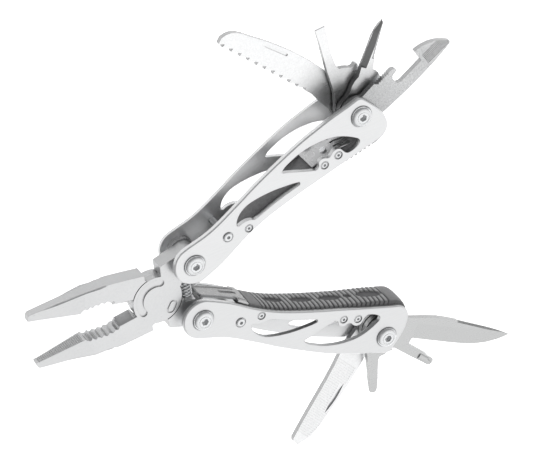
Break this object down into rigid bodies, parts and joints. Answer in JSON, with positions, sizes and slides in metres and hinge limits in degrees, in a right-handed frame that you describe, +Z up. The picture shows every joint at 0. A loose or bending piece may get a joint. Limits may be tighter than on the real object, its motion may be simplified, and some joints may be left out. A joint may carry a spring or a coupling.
{
  "type": "multi tool",
  "caption": "Folding plier multi tool with two pierced side-plate handles, rubber grips and fold-out blades and drivers.",
  "frame": {"origin": "centre of the bounding box's base, the tool lying flat with its back plates down", "axes": "+X from the jaws towards the handles, +Y towards the upper handle, +Z up out of the front plates, parallel to every hinge"},
  "size_m": [0.1988, 0.1948, 0.02],
  "materials": {
    "grip_rubber": "matte moulded",
    "plate_steel": "fine satin",
    "blade_steel": "satin",
    "plier_steel": "bead blasted satin",
    "spring_steel": "plain",
    "fastener_steel": "polished"
  },
  "bodies": {
    "front_jaw": {"front_jaw": "plier_steel", "jaw_pin": "plier_steel", "coil_spring": "spring_steel"},
    "rear_jaw": {"rear_jaw": "plier_steel"},
    "upper_handle": {"upper_plate_front": "plate_steel", "upper_plate_back": "plate_steel", "upper_plier_bolt": "fastener_steel", "upper_tool_bolt": "fastener_steel", "upper_plier_nut": "fastener_steel", "upper_tool_nut": "fastener_steel", "upper_spacer_screw": "fastener_steel", "upper_frame_rivets": "fastener_steel", "upper_plier_washers": "fastener_steel", "upper_tool_washers": "fastener_steel", "upper_grip": "grip_rubber", "upper_back_strip": "spring_steel", "upper_tool_spring": "spring_steel", "upper_spring_rivet": "fastener_steel"},
    "lower_handle": {"lower_plate_front": "plate_steel", "lower_plate_back": "plate_steel", "lower_plier_bolt": "fastener_steel", "lower_tool_bolt": "fastener_steel", "lower_plier_nut": "fastener_steel", "lower_tool_nut": "fastener_steel", "lower_spacer_screw": "fastener_steel", "lower_frame_rivets": "fastener_steel", "lower_plier_washers": "fastener_steel", "lower_tool_washers": "fastener_steel", "lower_grip": "grip_rubber", "lower_back_strip": "spring_steel", "lower_tool_spring": "spring_steel", "lower_spring_rivet": "fastener_steel"},
    "opener": {"opener": "blade_steel"},
    "hook_blade": {"hook_blade": "blade_steel"},
    "screwdriver": {"screwdriver": "blade_steel"},
    "saw": {"saw": "blade_steel"},
    "knife": {"knife": "blade_steel"},
    "phillips_driver": {"phillips_driver": "blade_steel"},
    "small_screwdriver": {"small_screwdriver": "blade_steel"},
    "file": {"file": "blade_steel"}
  },
  "joints": [
    {"name": "jaw_pivot", "type": "hinge", "parent": "front_jaw", "child": "rear_jaw", "pos_m": [-0.04799, 0.00035, 0.01], "axis": [0, 0, 1], "range_deg": [0, 20.4], "stiffness_Nm_per_rad": 0.25, "springref_deg": -14.32, "deforming": ["coil_spring"]},
    {"name": "upper_handle_fold", "type": "hinge", "parent": "front_jaw", "child": "upper_handle", "pos_m": [-0.03269, 0.01305, 0.01], "axis": [0, 0, 1], "range_deg": [0, 150]},
    {"name": "lower_handle_fold", "type": "hinge", "parent": "rear_jaw", "child": "lower_handle", "pos_m": [-0.03269, -0.01235, 0.01], "axis": [0, 0, -1], "range_deg": [0, 150]},
    {"name": "opener_pivot", "type": "hinge", "parent": "upper_handle", "child": "opener", "pos_m": [0.04298, 0.05177, 0.01], "axis": [0, 0, 1], "range_deg": [0, 176]},
    {"name": "hook_blade_pivot", "type": "hinge", "parent": "upper_handle", "child": "hook_blade", "pos_m": [0.04298, 0.05177, 0.01], "axis": [0, 0, 1], "range_deg": [-40, 138]},
    {"name": "screwdriver_pivot", "type": "hinge", "parent": "upper_handle", "child": "screwdriver", "pos_m": [0.04298, 0.05177, 0.01], "axis": [0, 0, 1], "range_deg": [-74, 103]},
    {"name": "saw_pivot", "type": "hinge", "parent": "upper_handle", "child": "saw", "pos_m": [0.04298, 0.05177, 0.01], "axis": [0, 0, 1], "range_deg": [-109, 68]},
    {"name": "knife_pivot", "type": "hinge", "parent": "lower_handle", "child": "knife", "pos_m": [0.04298, -0.05107, 0.01], "axis": [0, 0, -1], "range_deg": [0, 180]},
    {"name": "phillips_driver_pivot", "type": "hinge", "parent": "lower_handle", "child": "phillips_driver", "pos_m": [0.04298, -0.05107, 0.01], "axis": [0, 0, -1], "range_deg": [-20, 158]},
    {"name": "small_screwdriver_pivot", "type": "hinge", "parent": "lower_handle", "child": "small_screwdriver", "pos_m": [0.04298, -0.05107, 0.01], "axis": [0, 0, -1], "range_deg": [-72, 106]},
    {"name": "file_pivot", "type": "hinge", "parent": "lower_handle", "child": "file", "pos_m": [0.04298, -0.05107, 0.01], "axis": [0, 0, -1], "range_deg": [-102, 69]}
  ]
}
